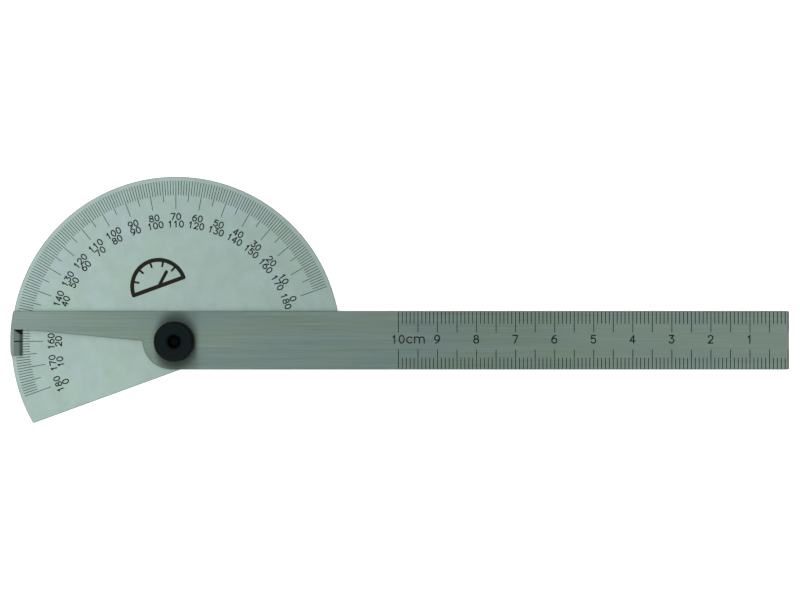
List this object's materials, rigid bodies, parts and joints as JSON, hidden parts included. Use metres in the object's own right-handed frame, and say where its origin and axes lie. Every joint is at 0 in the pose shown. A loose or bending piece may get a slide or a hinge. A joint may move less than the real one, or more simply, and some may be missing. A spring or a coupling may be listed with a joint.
{
  "type": "adjustable protractor",
  "caption": "Flat steel protractor: a graduated semicircular head plate with a pivoting ruled arm, held at any angle by a knurled clamp nut.",
  "frame": {"origin": "on the pivot axis at the flat rear face, in the middle of the stud's flush head", "axes": "+X along the arm from the pivot to its square end, +Z out of the graduated face, +Y across the arm towards the dial"},
  "size_m": [0.1994, 0.0631, 0.0074],
  "materials": {
    "dial_steel": "matt satin, very fine grain, black graduations",
    "arm_steel": "brushed lengthwise, black graduations",
    "spring_steel": "blackened, satin, rubbed paler in places",
    "black_oxide": "blackened steel, satin, turned"
  },
  "bodies": {
    "head": {"head_plate": "dial_steel", "pivot_stud": "black_oxide"},
    "arm": {"arm": "arm_steel"},
    "washers": {"wave_washer": "spring_steel", "plain_washer": "spring_steel"},
    "nut": {"clamp_nut": "black_oxide"}
  },
  "joints": [
    {"name": "arm_turn", "type": "hinge", "parent": "head", "child": "arm", "pos_m": [0, 0, 0.00182], "axis": [0, 0, 1], "range_deg": [-160, 20]},
    {"name": "nut_rise", "type": "slide", "parent": "head", "child": "washers", "axis": [0, 0, 1], "range_m": [0, 0.0007], "deforming": ["wave_washer"]},
    {"name": "nut_turn", "type": "hinge", "parent": "washers", "child": "nut", "pos_m": [0, 0, 0.0054], "axis": [0, 0, 1], "range_deg": [0, 360]}
  ],
  "couplings": [
    {"joint": "nut_turn", "follows": "nut_rise", "rad_per_m": 8976}
  ]
}
